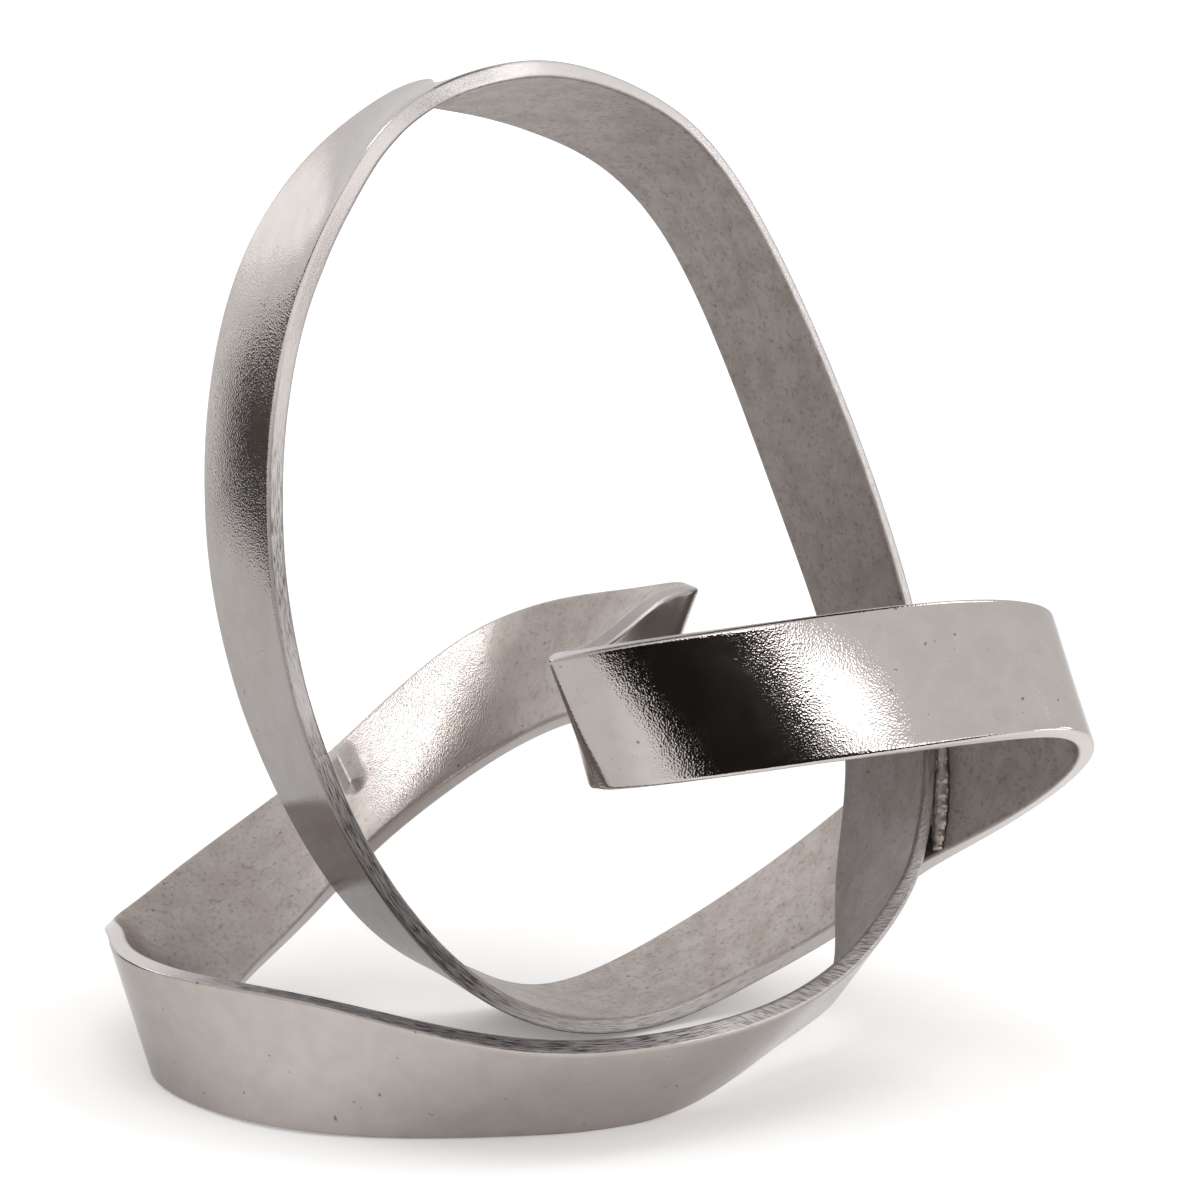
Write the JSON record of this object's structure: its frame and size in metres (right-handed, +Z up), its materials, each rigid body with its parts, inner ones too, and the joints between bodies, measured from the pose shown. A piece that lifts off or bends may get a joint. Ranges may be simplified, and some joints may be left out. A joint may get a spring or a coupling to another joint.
{
  "type": "knot sculpture",
  "caption": "Free-standing tabletop sculpture: a flat cast-metal band winding once round in an open knot, with a tall arch over a twisting base.",
  "frame": {"origin": "middle of the sculpture's outline on the table that it stands on", "axes": "+Z up, +X to the viewer's right and +Y away from the viewer who faces the crossing front band"},
  "size_m": [0.2964, 0.1968, 0.3031],
  "materials": {
    "casting": "sand-cast aluminium, bright plated, outer faces satin polished, inner faces left matte",
    "weld_metal": "aluminium weld metal, dressed nearly flush and plated with the castings"
  },
  "bodies": {
    "root": {"left_arch_band": "casting", "dip_band": "casting", "front_curl_band": "casting", "return_band": "casting", "back_band": "casting", "left_curl_band": "casting", "base_band": "casting", "right_arch_band": "casting", "top_seam_weld": "weld_metal", "left_seam_weld": "weld_metal", "rising_seam_weld": "weld_metal", "fold_seam_weld": "weld_metal", "corner_seam_weld": "weld_metal", "back_seam_weld": "weld_metal", "base_seam_weld": "weld_metal", "upright_seam_weld": "weld_metal", "left_crossing_weld": "weld_metal", "right_crossing_weld": "weld_metal"}
  },
  "joints": []
}
